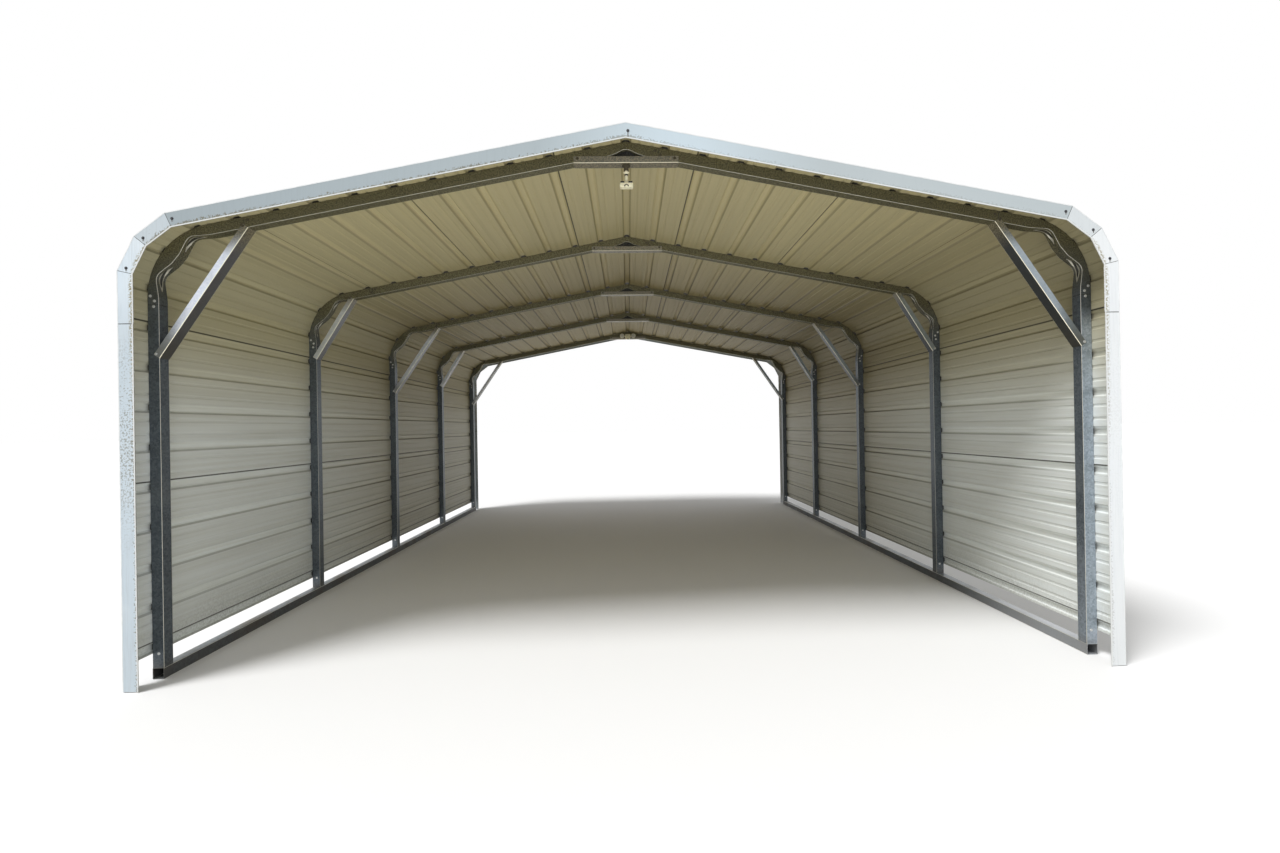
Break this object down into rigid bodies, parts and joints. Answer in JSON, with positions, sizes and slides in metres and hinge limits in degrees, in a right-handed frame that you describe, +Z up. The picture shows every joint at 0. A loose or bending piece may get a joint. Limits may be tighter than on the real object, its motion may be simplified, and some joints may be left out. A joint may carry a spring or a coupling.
{
  "type": "carport",
  "caption": "Open-ended steel carport with rounded eaves, ribbed sheeting on roof and sides, square-tube frames, braces and base rails.",
  "frame": {"origin": "on the ground at the centre of the plan", "axes": "+Z up, +Y from the front end to the rear end along the bay, +X to the right seen from the front"},
  "size_m": [5.5346, 6.4742, 3.0789],
  "materials": {
    "galvanised_tube": "galvanised, spangled",
    "painted_sheet": "off-white coil coating, weathered",
    "painted_trim": "white coil coating, dirty edges",
    "lamp_plastic": "aged cream moulded plastic"
  },
  "bodies": {
    "root": {"base_rails": "galvanised_tube", "frame_1_legs": "galvanised_tube", "frame_1_eave_bends": "galvanised_tube", "frame_1_left_rafter": "galvanised_tube", "frame_1_right_rafter": "galvanised_tube", "frame_1_braces": "galvanised_tube", "frame_2_legs": "galvanised_tube", "frame_2_eave_bends": "galvanised_tube", "frame_2_left_rafter": "galvanised_tube", "frame_2_right_rafter": "galvanised_tube", "frame_2_braces": "galvanised_tube", "frame_3_legs": "galvanised_tube", "frame_3_eave_bends": "galvanised_tube", "frame_3_left_rafter": "galvanised_tube", "frame_3_right_rafter": "galvanised_tube", "frame_3_braces": "galvanised_tube", "frame_4_legs": "galvanised_tube", "frame_4_eave_bends": "galvanised_tube", "frame_4_left_rafter": "galvanised_tube", "frame_4_right_rafter": "galvanised_tube", "frame_4_braces": "galvanised_tube", "frame_5_legs": "galvanised_tube", "frame_5_eave_bends": "galvanised_tube", "frame_5_left_rafter": "galvanised_tube", "frame_5_right_rafter": "galvanised_tube", "frame_5_braces": "galvanised_tube", "ridge_sheet": "painted_sheet", "left_roof_sheet_upper": "painted_sheet", "left_roof_sheet_lower": "painted_sheet", "left_eave_sheet": "painted_sheet", "left_wall_sheet_upper": "painted_sheet", "left_wall_sheet_lower": "painted_sheet", "right_roof_sheet_upper": "painted_sheet", "right_roof_sheet_lower": "painted_sheet", "right_eave_sheet": "painted_sheet", "right_wall_sheet_upper": "painted_sheet", "right_wall_sheet_lower": "painted_sheet", "front_left_roof_trim": "painted_trim", "front_right_roof_trim": "painted_trim", "front_leg_trims": "painted_trim", "rear_left_roof_trim": "painted_trim", "rear_right_roof_trim": "painted_trim", "rear_leg_trims": "painted_trim", "sensor_light": "lamp_plastic", "floodlight": "lamp_plastic"}
  },
  "joints": []
}
